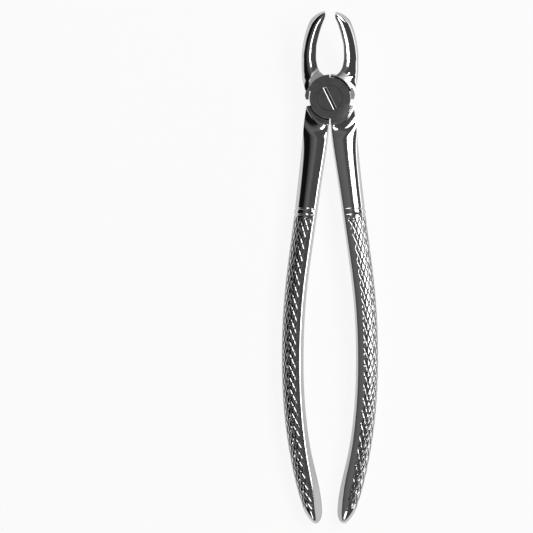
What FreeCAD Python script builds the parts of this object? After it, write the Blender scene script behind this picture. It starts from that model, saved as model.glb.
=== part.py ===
import FreeCAD, Part
import os

import Sketcher

# Extraction forceps for upper molars, lying on the rear joint face.
# Frame: +Z up along the pivot axis, +Y towards the beak tips, +X to the right as seen from the front.
# The origin is the pivot axis at the rear face of the joint.
#
# front_half : left beak, front half of the lap joint, right handle
# rear_half  : right beak, rear half of the lap joint, left handle
# pivot_screw: countersunk screw, head flush in the front half, thread in the rear half

Vector = FreeCAD.Vector
doc = FreeCAD.newDocument("extraction_forceps")
sheet = doc.addObject("Spreadsheet::Sheet", "sizes")

jointSizes = {
    "joint_thickness": 10.0,
    "joint_gap": 0.05,          # running gap between the two lapped faces
    "disc_radius": 7.2,
    "seat_clearance": 0.5,      # seat wall to the disc that turns in it
    "boss_wall": 1.6,           # the flat joint face reaches this far past the disc on the handle side
    "lug_drop": 0.3,            # the seat wall under the beak goes on this far below the pivot
    "lug_wall": 0.6,            # its thickness at the lower end
    "lug_spread": 0.3,          # and how much thicker it is where it leaves the beak
    "split_gap": 0.12,          # each arm stays this far from the middle plane
    "split_angle": 1.0,         # and leans away from it by this much
    "screw_head_radius": 4.4,
    "screw_head_depth": 2.3,
    "screw_shank_radius": 2.6,
    "screw_thread_radius": 2.3,
    "screw_clearance": 0.05,
    "thread_clearance": 0.02,
    "slot_width": 1.0,
    "slot_depth": 1.1,
    "slot_lean": 26.0,          # slot direction, from the long axis
    "edge_fall": 0.09,          # long inner edges lie below the crown by this share of the half depth
    "crown_shift": 0.08,        # the crown lies inwards of the middle of the arm by this share of its width
    "bend_below_rim": 3.2,      # the beaks start to bend forward this far below the rim of the disc
    "bend_radius": 11.4,
    "bend_angle": 27.5,
}

# At the joint the arms run from the middle plane to a flank outside the disc.
# flank: past the disc radius, crown: past the joint thickness, fall: outer edge below the crown.
handleJointColumns = ("flank", "crown", "fall")
handleJointSections = {
    "shoulder": (1.05, -0.7, 0.30),
    "neck": (1.90, -0.7, 0.80),
}
handleReach = {
    "handle_shoulder_step": 2.7,      # below the pivot
    "handle_neck_beyond": 1.8,        # below the rim of the disc
}
beakJointColumns = ("flank", "crown", "fall", "hollow")
beakJointSections = {
    "shoulder": (1.60, 0.9, 1.35, 0.05),
    "root": (1.82, 0.8, 1.50, 0.05),
    "crotch": (2.37, -0.4, 1.40, 0.05),
}
beakReach = {
    "beak_shoulder_rise": 2.7,        # above the pivot
    "beak_root_turned": 0.05,         # share of the bend
    "beak_crotch_turned": 0.60,
    "beak_fork_turned": 1.0,
}

# Handle sections from the joint down. step: from the section before, centre: sideways, width: across,
# depth: front to back, band: flat outer flank, height: above the table.
handleColumns = ("step", "centre", "width", "depth", "band", "height")
handleSections = {
    "throat": (8.0, 5.43, 8.85, 9.4, 5.4, 5.00),
    "waist": (13.0, 7.08, 8.25, 9.4, 3.4, 5.05),
    "collar": (16.5, 9.23, 7.95, 9.2, 3.0, 5.10),
    "swell": (21.0, 11.90, 7.80, 8.9, 3.0, 5.00),
    "rise": (11.0, 12.72, 7.72, 8.8, 3.0, 4.89),
    "belly": (11.5, 12.98, 7.65, 8.6, 3.0, 4.75),
    "crest": (10.0, 12.76, 7.61, 8.4, 2.9, 4.56),
    "palm": (10.0, 12.15, 7.60, 8.2, 2.8, 4.35),
    "hollow": (8.0, 11.13, 7.64, 8.0, 2.7, 4.16),
    "wrist": (8.0, 9.80, 7.70, 7.7, 2.6, 3.95),
    "heel": (6.5, 8.40, 7.62, 7.4, 2.5, 3.79),
    "spur": (6.4, 6.88, 7.45, 7.1, 2.4, 3.63),
    "tail": (6.3, 5.40, 5.20, 6.6, 2.2, 3.38),
    "cap": (2.2, 4.85, 3.60, 5.8, 1.8, 3.25),
    "end": (0.9, 4.85, 1.60, 4.4, 1.2, 3.20),
}

# Beak sections past the bend, each one step from the section before.
# hollow: how deep the inner face is dished.
forkColumns = ("centre", "width", "depth", "band", "hollow")
forkSections = {
    "fork": (6.35, 6.95, 7.6, 5.6, 0.05),
}
beakColumns = ("step", "centre", "width", "depth", "band", "hollow")
beakSections = {
    "throat": (2.4, 7.00, 5.80, 6.0, 4.6, 0.05),
    "waist": (3.8, 7.18, 5.35, 5.0, 4.2, 0.15),
    "belly": (5.0, 6.70, 4.95, 4.8, 4.2, 0.35),
    "cheek": (4.4, 5.70, 5.10, 5.4, 4.6, 0.55),
    "lip": (3.6, 4.60, 4.70, 6.2, 5.2, 0.70),
}
# The left beak ends in a point that fits between the molar's roots, the right one in a round spoon.
pointSections = {
    "shelf": (2.2, 3.60, 3.80, 6.0, 4.6, 0.60),
    "nib": (1.3, 2.70, 2.20, 3.4, 2.4, 0.30),
    "tip": (0.7, 2.20, 1.10, 1.5, 0.9, 0.10),
}
spoonSections = {
    "shelf": (1.6, 3.65, 3.95, 6.5, 5.4, 0.75),
    "nib": (0.9, 3.10, 2.90, 6.0, 4.8, 0.65),
    "tip": (0.5, 2.60, 1.60, 4.8, 3.6, 0.45),
}

cells = {}


def addSize(alias, value):
    row = len(cells) + 1
    sheet.set("A%d" % row, alias)
    sheet.set("B%d" % row, str(value))
    sheet.setAlias("B%d" % row, alias)
    cells[alias] = value


def addSections(prefix, columns, sections):
    for name, values in sections.items():
        for column, value in zip(columns, values):
            addSize("%s_%s_%s" % (prefix, name, column), value)


def addJointSections(prefix, columns, sections):
    """Sections whose outline follows the size of the joint."""
    addSections(prefix, columns, sections)
    for name in sections:
        station = "%s_%s" % (prefix, name)
        addSize(station + "_centre", "=(disc_radius + %s_flank) / 2" % station)
        addSize(station + "_width", "=disc_radius + %s_flank" % station)
        addSize(station + "_depth", "=joint_thickness + %s_crown" % station)
        addSize(station + "_band", "=joint_thickness + %s_crown - 2 * %s_fall" % (station, station))
        addSize(station + "_height", "=joint_thickness / 2")


for sizes in (jointSizes, handleReach, beakReach):
    for alias, value in sizes.items():
        addSize(alias, value)
addJointSections("handle", handleJointColumns, handleJointSections)
addJointSections("beak", beakJointColumns, beakJointSections)
addSize("handle_neck_step", "=disc_radius + handle_neck_beyond - handle_shoulder_step")
addSections("handle", handleColumns, handleSections)
addSections("beak", forkColumns, forkSections)
addSections("beak", beakColumns, beakSections)
addSections("point", beakColumns, pointSections)
addSections("spoon", beakColumns, spoonSections)
doc.recompute()


def evaluate(expression):
    result = sheet.evalExpression(expression)
    return float(getattr(result, "Value", result))


def addSketch(body, name, role):
    plane = [o for o in body.Origin.OriginFeatures if o.Role == role][0]
    sketch = body.newObject("Sketcher::SketchObject", name)
    sketch.AttachmentSupport = [(plane, "")]
    sketch.MapMode = "FlatFace"
    return sketch


def pinPoint(sketch, geometry, end, x, y):
    """Hold one point of the sketch at two expressions."""
    for kind, expression in (("DistanceX", x), ("DistanceY", y)):
        index = sketch.addConstraint(Sketcher.Constraint(kind, -1, 1, geometry, end, evaluate(expression)))
        sketch.setExpression("Constraints[%d]" % index, expression)


def addOutline(sketch, corners):
    """Closed outline of straight lines through (x, y) expressions."""
    points = [Vector(evaluate(x), evaluate(y), 0) for x, y in corners]
    count = len(points)
    for i in range(count):
        sketch.addGeometry(Part.LineSegment(points[i], points[(i + 1) % count]), False)
    for i in range(count):
        sketch.addConstraint(Sketcher.Constraint("Coincident", i, 2, (i + 1) % count, 1))
    for i, (x, y) in enumerate(corners):
        pinPoint(sketch, i, 1, x, y)


def addCircle(sketch, radius):
    circle = Part.Circle(Vector(0, 0, 0), Vector(0, 0, 1), evaluate(radius))
    index = sketch.addGeometry(circle, False)
    sketch.addConstraint(Sketcher.Constraint("Coincident", index, 3, -1, 1))
    index = sketch.addConstraint(Sketcher.Constraint("Radius", index, evaluate(radius)))
    sketch.setExpression("Constraints[%d]" % index, radius)


def addSection(body, name, side, station, hollow):
    """One cross section of an arm: flat outer flank, crowned front and back, inner face flat or dished."""
    sketch = addSketch(body, name, "XZ_Plane")
    inner = "%d * (sizes.%s_centre - sizes.%s_width / 2)" % (side, station, station)
    crown = "%d * (sizes.%s_centre - sizes.%s_width * sizes.crown_shift)" % (side, station, station)
    outer = "%d * (sizes.%s_centre + sizes.%s_width / 2)" % (side, station, station)
    dish = "%d * (sizes.%s_centre - sizes.%s_width / 2 + %s)" % (side, station, station, hollow)
    top = "sizes.%s_depth / 2" % station
    edge = "sizes.%s_depth / 2 * (1 - sizes.edge_fall)" % station
    flank = "sizes.%s_band / 2" % station

    def at(x, y):
        return Vector(evaluate(x), evaluate(y), 0)

    corners = [(inner, edge), (outer, flank), (outer, "-" + flank), (inner, "-" + edge)]
    a, b, c, d = [at(x, y) for x, y in corners]
    sketch.addGeometry(Part.LineSegment(b, c), False)
    sketch.addGeometry(Part.Arc(a, at(crown, top), b), False)
    sketch.addGeometry(Part.Arc(c, at(crown, "-" + top), d), False)
    curved = [(1, crown, top, a, b), (2, crown, "-" + top, c, d)]
    if hollow == "0":
        sketch.addGeometry(Part.LineSegment(d, a), False)
    else:
        sketch.addGeometry(Part.Arc(d, at(dish, "0"), a), False)
        curved.append((3, dish, "0", d, a))

    def endAt(index, point):
        start = sketch.getPoint(index, 1)
        return 1 if (start - point).Length < 1e-6 else 2

    pinPoint(sketch, 0, 1, outer, flank)
    pinPoint(sketch, 0, 2, outer, "-" + flank)
    pinPoint(sketch, 3, endAt(3, a), inner, edge)
    pinPoint(sketch, 3, endAt(3, d), inner, "-" + edge)
    sketch.addConstraint(Sketcher.Constraint("Coincident", 1, endAt(1, b), 0, 1))
    sketch.addConstraint(Sketcher.Constraint("Coincident", 2, endAt(2, c), 0, 2))
    sketch.addConstraint(Sketcher.Constraint("Coincident", 1, endAt(1, a), 3, endAt(3, a)))
    sketch.addConstraint(Sketcher.Constraint("Coincident", 2, endAt(2, d), 3, endAt(3, d)))
    for index, x, y, start, end in curved:
        point = sketch.addGeometry(Part.Point(at(x, y)), True)
        pinPoint(sketch, point, 1, x, y)
        sketch.addConstraint(Sketcher.Constraint("PointOnObject", point, 1, index))
    return sketch


def addHandle(body, side):
    sections = []
    reach = ""
    for name in list(handleJointSections) + list(handleSections):
        station = "handle_" + name
        reach += (" + " if reach else "") + "sizes.%s_step" % station
        sketch = addSection(body, "%s_%s" % (body.Name, station), side, station, "0")
        sketch.setExpression("AttachmentOffset.Base.y", "sizes.%s_height" % station)
        sketch.setExpression("AttachmentOffset.Base.z", reach)
        sections.append(sketch)
    return addLoft(body, body.Name + "_handle", sections, True)


def addBeak(body, side, tipPrefix, tipSections):
    sections = []
    stations = [("beak_shoulder", False)]
    stations += [("beak_" + name, True) for name in ("root", "crotch", "fork")]
    stations += [("beak_" + name, False) for name in beakSections]
    stations += [(tipPrefix + "_" + name, False) for name in tipSections]
    beyond = ""
    for station, onBend in stations:
        angle = "sizes.bend_angle * 1deg"
        if station == "beak_shoulder":
            angle = "0deg"
            run = "(sizes.beak_shoulder_rise - %s)" % bendStart
        elif onBend:
            angle = "sizes.%s_turned * sizes.bend_angle * 1deg" % station
            run = "0"
        else:
            beyond += (" + " if beyond else "") + "sizes.%s_step" % station
            run = "(%s)" % beyond
        rise = "%s + sizes.bend_radius * sin(%s) + %s * cos(%s)" % (bendStart, angle, run, angle)
        lift = ("sizes.joint_thickness / 2 + sizes.bend_radius * (1 - cos(%s)) + %s * sin(%s)"
                % (angle, run, angle))
        sketch = addSection(body, "%s_%s" % (body.Name, station), side, station,
                            "sizes.%s_hollow" % station)
        sketch.AttachmentOffset = FreeCAD.Placement(Vector(), FreeCAD.Rotation(Vector(1, 0, 0), 1))
        sketch.setExpression("AttachmentOffset.Base.y", lift)
        sketch.setExpression("AttachmentOffset.Base.z", "-(%s)" % rise)
        sketch.setExpression("AttachmentOffset.Rotation.Angle", angle)
        sections.append(sketch)
    return addLoft(body, body.Name + "_beak", sections, False)


def addLoft(body, name, sections, ruled):
    loft = body.newObject("PartDesign::AdditiveLoft", name)
    loft.Profile = sections[0]
    loft.Sections = sections[1:]
    loft.Ruled = ruled
    doc.recompute()
    return loft


def addPad(body, name, sketch, length, start):
    """Pad upwards from a height above the table."""
    sketch.setExpression("AttachmentOffset.Base.z", start)
    pad = body.newObject("PartDesign::Pad", name)
    pad.Profile = sketch
    pad.setExpression("Length", length)
    doc.recompute()
    return pad


def addPocket(body, name, sketch, length, start, upward):
    """Cut from a height above the table, upwards or downwards. It has to take something away."""
    before = body.Shape.Volume
    sketch.setExpression("AttachmentOffset.Base.z", start)
    pocket = body.newObject("PartDesign::Pocket", name)
    pocket.Profile = sketch
    pocket.setExpression("Length", length)
    pocket.Reversed = upward
    doc.recompute()
    if body.Shape.Volume >= before:
        raise RuntimeError(name + " cuts nothing")
    return pocket


def addRevolved(body, name, kind, corners):
    """Outline in the XZ plane turned once about the pivot axis, added or taken away."""
    before = body.Shape.Volume if body.Shape.Solids else 0.0
    sketch = addSketch(body, name + "_outline", "XZ_Plane")
    addOutline(sketch, corners)
    feature = body.newObject("PartDesign::" + kind, name)
    feature.Profile = sketch
    feature.ReferenceAxis = (sketch, ["V_Axis"])
    feature.Angle = 360
    doc.recompute()
    if kind == "Groove" and body.Shape.Volume >= before:
        raise RuntimeError(name + " cuts nothing")
    return feature


half = "(sizes.joint_thickness - sizes.joint_gap) / 2"          # thickness of one lap, top of the rear lap
frontLap = "(sizes.joint_thickness + sizes.joint_gap) / 2"      # underside of the front lap
seatRadius = "(sizes.disc_radius + sizes.seat_clearance)"
bendStart = "(sizes.disc_radius - sizes.bend_below_rim)"        # rise above the pivot
beyond = "3 * sizes.joint_thickness"                            # a cut this long or wide leaves the part
overlap = "0.5"                                                 # added features start this far inside


def addBoss(body, side):
    """Quarter of the flat joint face on the handle side, through the whole thickness."""
    boss = addSketch(body, body.Name + "_boss_outline", "XY_Plane")
    radius = "(sizes.disc_radius + sizes.boss_wall)"
    drop = "sizes.handle_shoulder_step"
    flank = ("%d * sqrt(%s ^ 2 - %s ^ 2)" % (side, radius, drop), "-" + drop)
    low = ("0", "-" + radius)
    middle = ("%d * %s * cos(45deg)" % (side, radius), "-%s * sin(45deg)" % radius)
    inside = ("0", "-" + drop)

    def at(point):
        return Vector(evaluate(point[0]), evaluate(point[1]), 0)

    boss.addGeometry(Part.LineSegment(at(low), at(inside)), False)
    boss.addGeometry(Part.LineSegment(at(inside), at(flank)), False)
    boss.addGeometry(Part.Arc(at(flank), at(middle), at(low)), False)
    pinPoint(boss, 0, 1, *low)
    pinPoint(boss, 1, 1, *inside)
    boss.addConstraint(Sketcher.Constraint("Horizontal", 1))
    boss.addConstraint(Sketcher.Constraint("Coincident", 0, 2, 1, 1))
    first = 1 if (boss.getPoint(2, 1) - at(flank)).Length < 1e-6 else 2
    boss.addConstraint(Sketcher.Constraint("Coincident", 2, first, 1, 2))
    boss.addConstraint(Sketcher.Constraint("Coincident", 2, 3 - first, 0, 1))
    boss.addConstraint(Sketcher.Constraint("Coincident", 2, 3, -1, 1))
    addPad(body, body.Name + "_boss", boss, "sizes.joint_thickness", "0")


def grindFaces(body):
    """Grind the crowned beak flat over the joint, front and rear."""
    corners = [("-" + beyond, seatRadius), ("-" + beyond, "0"), (beyond, "0"), (beyond, seatRadius)]
    for face, start, upward in (("front", "sizes.joint_thickness", True), ("rear", "0", False)):
        sketch = addSketch(body, "%s_%s_face_outline" % (body.Name, face), "XY_Plane")
        addOutline(sketch, corners)
        addPocket(body, "%s_%s_face" % (body.Name, face), sketch, "sizes.joint_thickness", start, upward)


def splitArms(body, part, side, along):
    """Keep an arm on its own side of the middle plane, with room for the handles to close."""
    def plane(distance):
        lean = "(sizes.split_gap + %s * tan(sizes.split_angle * 1deg))" % distance
        return ("%d * %s" % (side, lean), "%d * %s" % (along, distance))

    reach = "20 * sizes.joint_thickness"
    near = plane("sizes.disc_radius")
    far = plane(reach)
    across = "%d * %s" % (-side, beyond)
    sketch = addSketch(body, "%s_%s_split_outline" % (body.Name, part), "XY_Plane")
    addOutline(sketch, [near, far, (across, far[1]), (across, near[1])])
    addPocket(body, "%s_%s_split" % (body.Name, part), sketch, "2 * " + beyond, "-" + beyond, True)


def addArm(name, side, inFront, tipPrefix, tipSections):
    """One forging. side: where its handle lies, its beak is opposite. inFront: its disc is the front one."""
    body = doc.addObject("PartDesign::Body", name)
    body.Label = name

    addHandle(body, side)
    addBoss(body, side)

    disc = addSketch(body, name + "_disc_outline", "XY_Plane")
    addCircle(disc, "sizes.disc_radius")
    addPad(body, name + "_disc", disc, half, frontLap if inFront else "0")

    addBeak(body, -side, tipPrefix, tipSections)

    lug = addSketch(body, name + "_lug_outline", "XY_Plane")
    top = "sizes.beak_shoulder_rise + " + overlap
    flank = "%d * (%s + sizes.lug_wall)" % (-side, seatRadius)
    rootFlank = "%d * (%s + sizes.lug_wall + sizes.lug_spread)" % (-side, seatRadius)
    inside = "%d * sizes.disc_radius / 2" % -side
    low = "-sizes.lug_drop"
    addOutline(lug, [(inside, low), (flank, low), (rootFlank, top), (inside, top)])
    addPad(body, name + "_lug", lug, half, "0" if inFront else frontLap)

    grindFaces(body)
    splitArms(body, "beak", -side, 1)
    splitArms(body, "handle", side, -1)

    seat = addSketch(body, name + "_seat_outline", "XY_Plane")
    addCircle(seat, seatRadius)
    if inFront:
        addPocket(body, name + "_seat", seat, frontLap, "0", True)
        below = frontLap + " - " + overlap
        above = "sizes.joint_thickness + " + overlap
        bore = "sizes.screw_shank_radius + sizes.screw_clearance"
        head = "sizes.screw_head_radius + sizes.screw_clearance"
        sink = "sizes.joint_thickness - sizes.screw_head_depth"
        addRevolved(body, name + "_countersink", "Groove",
                    [("0", below), (bore, below), (bore, sink), (head, "sizes.joint_thickness"),
                     (head, above), ("0", above)])
    else:
        addPocket(body, name + "_seat", seat, "sizes.joint_thickness", half, True)
        below = "-" + overlap
        above = half + " + " + overlap
        bore = "sizes.screw_thread_radius + sizes.thread_clearance"
        addRevolved(body, name + "_thread_bore", "Groove",
                    [("0", below), (bore, below), (bore, above), ("0", above)])
    return body


def addScrew(name):
    body = doc.addObject("PartDesign::Body", name)
    body.Label = name
    sink = "sizes.joint_thickness - sizes.screw_head_depth"
    addRevolved(body, name + "_turned", "Revolution",
                [("0", "0"), ("sizes.screw_thread_radius", "0"), ("sizes.screw_thread_radius", half),
                 ("sizes.screw_shank_radius", half), ("sizes.screw_shank_radius", sink),
                 ("sizes.screw_head_radius", "sizes.joint_thickness"), ("0", "sizes.joint_thickness")])
    slot = addSketch(body, name + "_slot_outline", "XY_Plane")
    wide = "sizes.slot_width / 2"
    long = "(sizes.screw_head_radius + %s)" % overlap
    addOutline(slot, [("-" + wide, "-" + long), (wide, "-" + long), (wide, long), ("-" + wide, long)])
    slot.AttachmentOffset = FreeCAD.Placement(Vector(), FreeCAD.Rotation(Vector(0, 0, 1), 1))
    slot.setExpression("AttachmentOffset.Rotation.Angle", "sizes.slot_lean * 1deg")
    addPocket(body, name + "_slot", slot, "sizes.slot_depth", "sizes.joint_thickness", False)
    return body


parts = [
    addArm("front_half", 1, True, "point", pointSections),
    addArm("rear_half", -1, False, "spoon", spoonSections),
    addScrew("pivot_screw"),
]
doc.recompute()

for feature in doc.Objects:
    if "Invalid" in feature.State or "Error" in feature.State:
        raise RuntimeError("%s: %s" % (feature.Name, feature.getStatusString()))
for body in parts:
    if body.Shape.isNull() or not body.Shape.isValid() or len(body.Shape.Solids) != 1:
        raise RuntimeError(body.Label + " is not one valid solid")
    print(body.Label, round(body.Shape.Volume, 1), body.Shape.BoundBox)

os.makedirs("parts", exist_ok=True)
for body in parts:
    body.Shape.exportStep("parts/%s.step" % body.Label)
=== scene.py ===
import bpy
import bmesh
import math
import numpy as np
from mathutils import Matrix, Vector


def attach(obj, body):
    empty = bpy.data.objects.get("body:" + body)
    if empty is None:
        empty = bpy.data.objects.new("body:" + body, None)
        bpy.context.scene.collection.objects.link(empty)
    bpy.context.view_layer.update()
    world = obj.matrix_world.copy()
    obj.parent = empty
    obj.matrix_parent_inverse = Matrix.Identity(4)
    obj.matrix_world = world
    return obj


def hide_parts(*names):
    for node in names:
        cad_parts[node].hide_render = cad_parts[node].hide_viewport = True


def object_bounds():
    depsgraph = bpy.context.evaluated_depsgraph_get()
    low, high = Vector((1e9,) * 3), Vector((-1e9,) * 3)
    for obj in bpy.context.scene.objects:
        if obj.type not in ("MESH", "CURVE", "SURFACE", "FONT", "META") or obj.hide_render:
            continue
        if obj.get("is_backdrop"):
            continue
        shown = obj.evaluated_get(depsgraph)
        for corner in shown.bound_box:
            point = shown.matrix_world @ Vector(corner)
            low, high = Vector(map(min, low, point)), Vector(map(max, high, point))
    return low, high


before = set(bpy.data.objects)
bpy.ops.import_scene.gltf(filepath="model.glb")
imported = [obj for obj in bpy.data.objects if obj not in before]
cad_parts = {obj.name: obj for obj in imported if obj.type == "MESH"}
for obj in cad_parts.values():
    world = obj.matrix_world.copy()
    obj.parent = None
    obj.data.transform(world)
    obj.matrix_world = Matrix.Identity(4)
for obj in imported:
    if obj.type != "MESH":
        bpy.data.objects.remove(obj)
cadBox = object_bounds()

mm = 0.001
thickness = 10.0      # of the joint, its rear face at height 0
midHeight = 5.0
skin = 0.04           # the arms stay this far inside the joint's two faces


# curves through a few known sections

def smoothCurve(knots, values):
    # natural cubic, for the long sweep of the handles
    x = np.array(knots, float)
    y = np.array(values, float)
    n = len(x)
    step = np.diff(x)
    a = np.zeros((n, n))
    r = np.zeros(n)
    a[0, 0] = a[-1, -1] = 1.0
    for i in range(1, n - 1):
        a[i, i - 1] = step[i - 1]
        a[i, i] = 2 * (step[i - 1] + step[i])
        a[i, i + 1] = step[i]
        r[i] = 6 * ((y[i + 1] - y[i]) / step[i] - (y[i] - y[i - 1]) / step[i - 1])
    bend = np.linalg.solve(a, r)

    def at(t):
        i = int(np.clip(np.searchsorted(x, t) - 1, 0, n - 2))
        w = step[i]
        p = (x[i + 1] - t) / w
        q = (t - x[i]) / w
        return p * y[i] + q * y[i + 1] + ((p ** 3 - p) * bend[i] + (q ** 3 - q) * bend[i + 1]) * w * w / 6
    return at


def steadyCurve(knots, values):
    # cubic that never overshoots, for the beaks
    x = np.array(knots, float)
    y = np.array(values, float)
    h = np.diff(x)
    d = np.diff(y) / h
    m = np.zeros(len(x))
    m[0], m[-1] = d[0], d[-1]
    for i in range(1, len(x) - 1):
        if d[i - 1] * d[i] > 0:
            a = 2 * h[i] + h[i - 1]
            b = h[i] + 2 * h[i - 1]
            m[i] = (a + b) / (a / d[i - 1] + b / d[i])

    def at(t):
        i = int(np.clip(np.searchsorted(x, t) - 1, 0, len(x) - 2))
        u = (t - x[i]) / h[i]
        return ((2 * u ** 3 - 3 * u ** 2 + 1) * y[i] + (u ** 3 - 2 * u ** 2 + u) * h[i] * m[i]
                + (3 * u ** 2 - 2 * u ** 3) * y[i + 1] + (u ** 3 - u ** 2) * h[i] * m[i + 1])
    return at


def tableCurves(curve, names, table):
    knots = [row[0] for row in table]
    return {name: curve(knots, [row[i + 1] for row in table]) for i, name in enumerate(names)}


def ease(low, high, value):
    t = np.clip((value - low) / (high - low), 0, 1)
    return t * t * (3 - 2 * t)


# meshes

def meshObject(name, points, faces, materials):
    mesh = bpy.data.meshes.new(name)
    mesh.from_pydata([tuple(p) for p in np.asarray(points) * mm], [], faces)
    mesh.update()
    for material in materials:
        mesh.materials.append(material)
    obj = bpy.data.objects.new(name, mesh)
    bpy.context.scene.collection.objects.link(obj)
    return obj


def setPointValue(obj, name, values):
    layer = obj.data.attributes.new(name, "FLOAT", "POINT")
    layer.data.foreach_set("value", np.asarray(values, np.float32).ravel())


def finishMesh(obj, sharpAbove):
    work = bmesh.new()
    work.from_mesh(obj.data)
    bmesh.ops.recalc_face_normals(work, faces=work.faces)
    if work.calc_volume(signed=True) < 0:
        bmesh.ops.reverse_faces(work, faces=work.faces)
    work.to_mesh(obj.data)
    work.free()
    obj.data.shade_smooth()
    obj.data.set_sharp_from_angle(angle=math.radians(sharpAbove))


# finishes

polish = {
    "steel": (0.62, 0.62, 0.63),
    # painted shade: a near-black steel colour laid into the bottom of the cut grooves
    "paintedGrooveShade": (0.12, 0.12, 0.125),
    "roughness": 0.05,
    "smear": 0.07,            # rougher clouds left by the buffing wheel
    "grooveRoughness": 0.20,
    "hairline": 0.02,
    "cutLand": 0.66,          # share of a diamond left between the cut lines
    "cutStrength": 0.65,
    "hairScale": (2600, 130, 2600),      # polishing lines run along the arms
    "cloudScale": 240.0,
    "grainScale": 5200.0,
    "hairHeight": 0.0002,
    "cutHeight": 0.0001,
}
ground = {
    "steel": (0.125, 0.125, 0.128),
    "paleSteel": (0.50, 0.50, 0.50),     # on the fillets under the beaks
    "roughness": 0.38,
    "grain": 0.07,
    "patchGrain": 0.05,
    "grainScale": 6500.0,
    "cloudScale": 380.0,
    "turning": 26000.0,       # how close the rings left by turning lie
    "turningShare": 0.15,
    "bump": 0.06,
    "bumpHeight": 0.0001,
}


def newFinish(name):
    material = bpy.data.materials.new(name)
    material.use_nodes = True
    nodes = material.node_tree.nodes
    nodes.clear()
    output = nodes.new("ShaderNodeOutputMaterial")
    shader = nodes.new("ShaderNodeBsdfPrincipled")
    material.node_tree.links.new(shader.outputs["BSDF"], output.inputs["Surface"])
    return material, nodes, material.node_tree.links, shader


def addNoise(nodes, links, source, scale, detail):
    noise = nodes.new("ShaderNodeTexNoise")
    noise.inputs["Scale"].default_value = scale
    noise.inputs["Detail"].default_value = detail
    links.new(source, noise.inputs["Vector"])
    return noise.outputs["Fac"]


def addRange(nodes, links, source, low, high, toLow, toHigh):
    span = nodes.new("ShaderNodeMapRange")
    for name, value in (("From Min", low), ("From Max", high), ("To Min", toLow), ("To Max", toHigh)):
        span.inputs[name].default_value = value
    links.new(source, span.inputs["Value"])
    return span.outputs["Result"]


def addValue(nodes, name):
    value = nodes.new("ShaderNodeAttribute")
    value.attribute_name = name
    return value.outputs["Fac"]


def addBlend(nodes, links, factor, a, b, kind="RGBA"):
    blend = nodes.new("ShaderNodeMix")
    blend.data_type = kind
    links.new(factor, blend.inputs["Factor"])
    for name, value in (("A", a), ("B", b)):
        socket = [s for s in blend.inputs if s.name == name and s.enabled][0]
        if hasattr(value, "node"):
            links.new(value, socket)
        else:
            socket.default_value = value
    return [s for s in blend.outputs if s.enabled][0]


def mathNodes(nodes, links):
    # short way to chain maths, in a material or in a geometry tree
    def calc(operation, *values, clamp=False):
        node = nodes.new("ShaderNodeMath")
        node.operation = operation
        node.use_clamp = clamp
        for socket, value in zip(node.inputs, values):
            if hasattr(value, "node"):
                links.new(value, socket)
            else:
                socket.default_value = value
        return node.outputs["Value"]
    return calc


def addCutLines(nodes, links):
    # crossing lines over the cut diamonds, 1 in the bottom of a groove; it sets the groove roughness and
    # bump, and where the painted groove shade goes
    calc = mathNodes(nodes, links)
    u, v = addValue(nodes, "diamondAlong"), addValue(nodes, "diamondAcross")
    lines = []
    for way in ("ADD", "SUBTRACT"):
        turn = calc("FRACT", calc(way, u, v))
        lines.append(calc("ABSOLUTE", calc("SUBTRACT", turn, 0.5)))
    nearest = calc("MULTIPLY", calc("MAXIMUM", *lines), 2.0)
    line = calc("DIVIDE", calc("SUBTRACT", nearest, polish["cutLand"]), 1 - polish["cutLand"], clamp=True)
    return calc("MULTIPLY", line, addValue(nodes, "cover"))


def makePolished():
    # buffed bright, with painted shade darkening the steel colour in the cut grooves, dull grey where the
    # joint cutter left its fillet
    material, nodes, links, shader = newFinish("polishedSteel")
    shader.inputs["Metallic"].default_value = 1.0
    shader.inputs["Specular Tint"].default_value = (*polish["steel"], 1)
    place = nodes.new("ShaderNodeTexCoord").outputs["Object"]
    along = nodes.new("ShaderNodeMapping")
    along.inputs["Scale"].default_value = polish["hairScale"]
    links.new(place, along.inputs["Vector"])
    hair = addNoise(nodes, links, along.outputs["Vector"], 1.0, 3.0)
    cloud = addNoise(nodes, links, place, polish["cloudScale"], 2.0)
    grain = addNoise(nodes, links, place, polish["grainScale"], 2.0)
    facet = addValue(nodes, "facet")
    groove = addCutLines(nodes, links)
    smear = addRange(nodes, links, cloud, 0.35, 0.75, polish["roughness"],
                     polish["roughness"] + polish["smear"])
    rough = addBlend(nodes, links, groove, smear, polish["roughness"] + polish["grooveRoughness"], "FLOAT")
    dull = addRange(nodes, links, grain, 0.3, 0.7, ground["roughness"] - ground["patchGrain"],
                    ground["roughness"] + ground["patchGrain"])
    links.new(addBlend(nodes, links, facet, rough, dull, "FLOAT"), shader.inputs["Roughness"])
    # painted shade: the groove mask blends the steel colour to near-black in the cut lines of grips and beak
    # serrations
    steel = addBlend(nodes, links, groove, (*polish["steel"], 1), (*polish["paintedGrooveShade"], 1))
    links.new(addBlend(nodes, links, facet, steel, (*ground["paleSteel"], 1)), shader.inputs["Base Color"])
    bump = nodes.new("ShaderNodeBump")
    bump.inputs["Strength"].default_value = polish["hairline"]
    bump.inputs["Distance"].default_value = polish["hairHeight"]
    links.new(hair, bump.inputs["Height"])
    cut = nodes.new("ShaderNodeBump")
    cut.invert = True
    cut.inputs["Strength"].default_value = polish["cutStrength"]
    cut.inputs["Distance"].default_value = polish["cutHeight"]
    links.new(groove, cut.inputs["Height"])
    links.new(bump.outputs["Normal"], cut.inputs["Normal"])
    links.new(cut.outputs["Normal"], shader.inputs["Normal"])
    return material


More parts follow.
